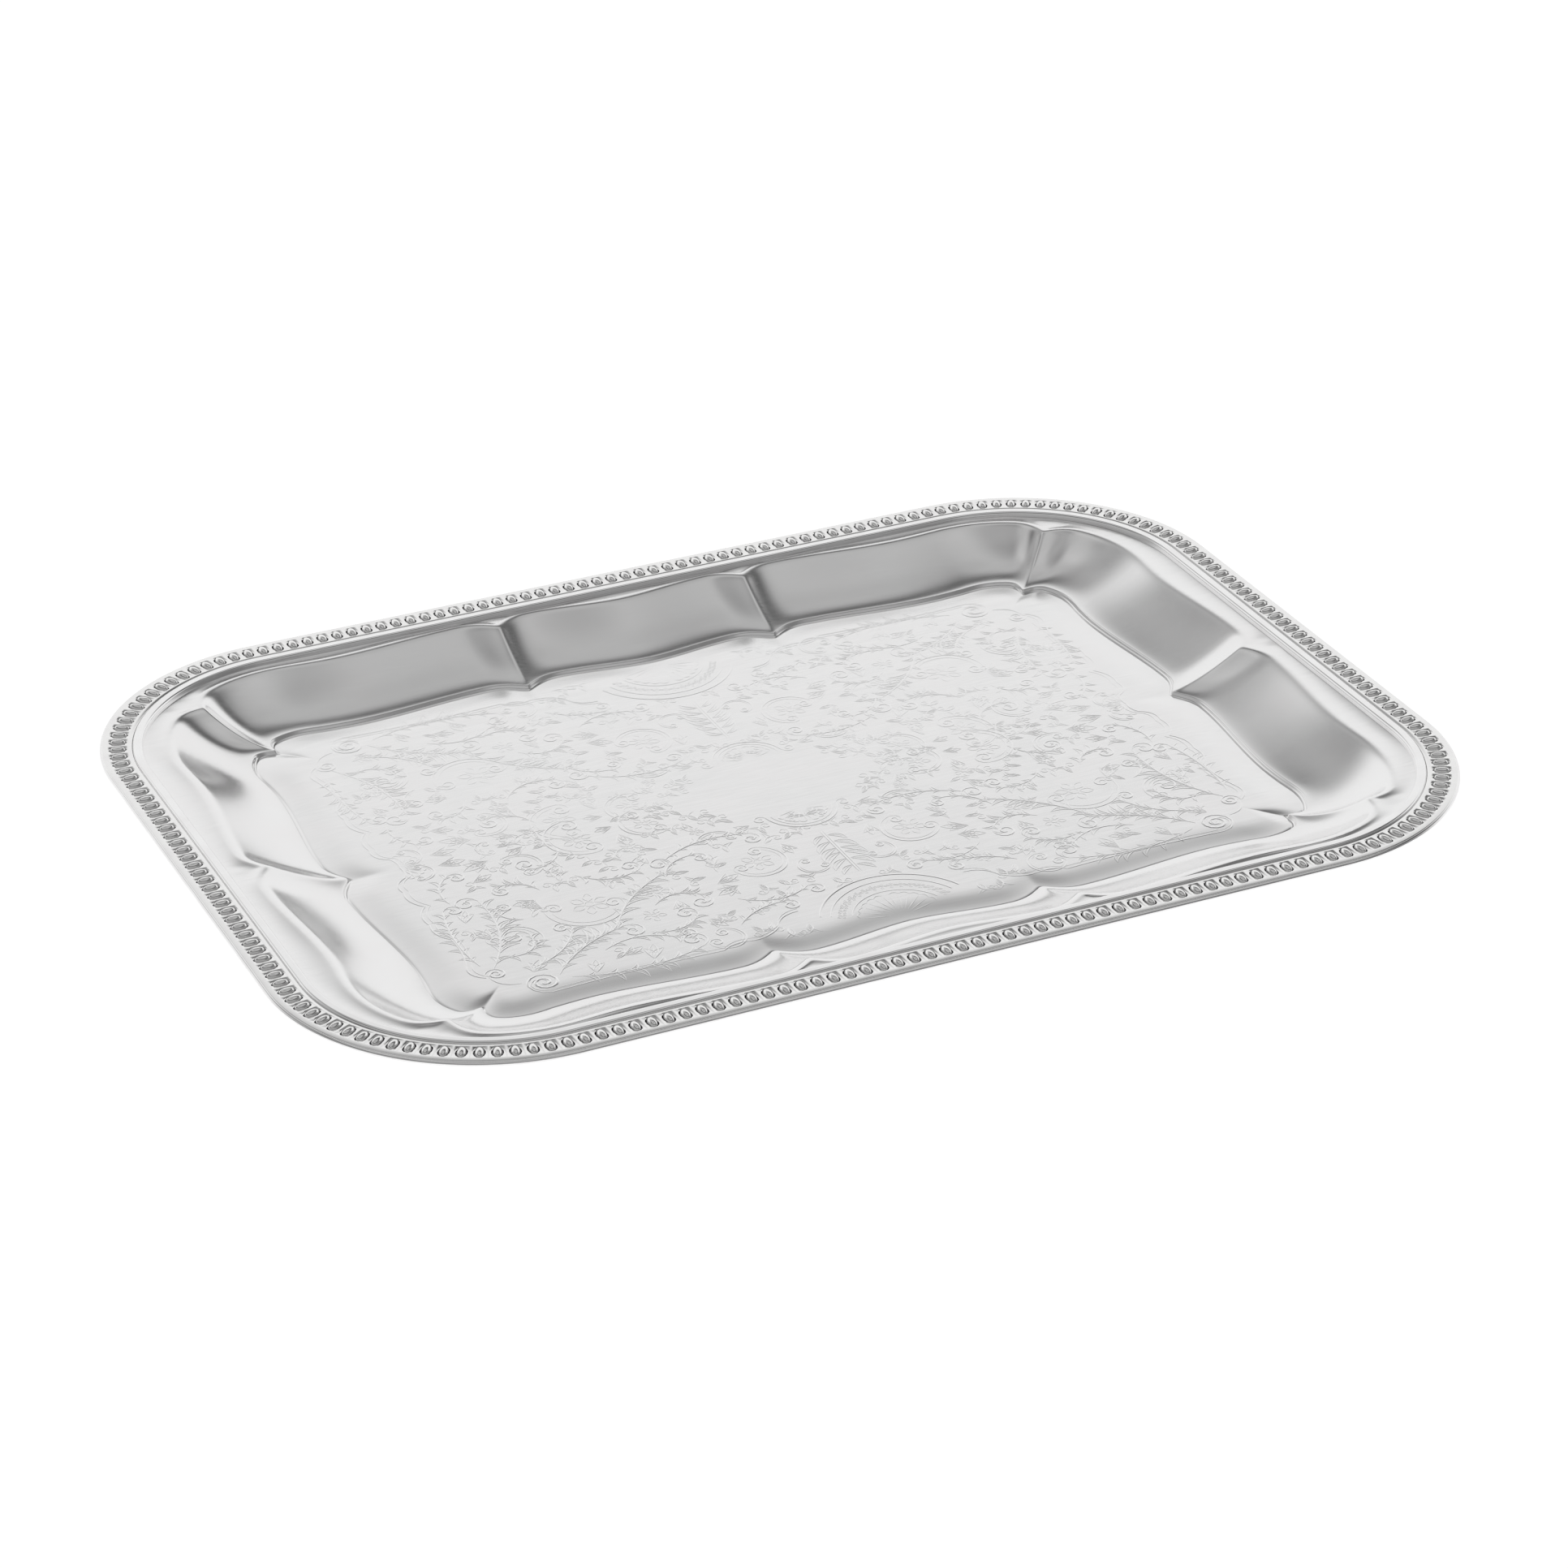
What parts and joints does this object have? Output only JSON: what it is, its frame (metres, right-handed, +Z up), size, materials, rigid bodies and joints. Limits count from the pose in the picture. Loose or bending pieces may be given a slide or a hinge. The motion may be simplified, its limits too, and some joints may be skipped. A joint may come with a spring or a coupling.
{
  "type": "serving salver",
  "caption": "Rectangular silver serving salver with rounded corners, a beaded border, a fluted sloping wall and low-relief scrollwork on the floor.",
  "frame": {"origin": "centre of the flat underside, on the surface that the tray rests on", "axes": "+X along the length, +Y along the width, +Z up out of the well"},
  "size_m": [0.42, 0.31, 0.0162],
  "materials": {
    "satin_silver": "silver plate, polished soft",
    "bright_silver": "silver plate, polished bright",
    "bead_silver": "silver plate, die-struck and polished"
  },
  "bodies": {
    "root": {"tray_body": "satin_silver", "rim_wire": "bright_silver", "inner_reed": "bright_silver", "border_front": "bead_silver", "border_right": "bead_silver", "border_back": "bead_silver", "border_left": "bead_silver", "corner_front_right": "bead_silver", "corner_back_right": "bead_silver", "corner_back_left": "bead_silver", "corner_front_left": "bead_silver"}
  },
  "joints": []
}
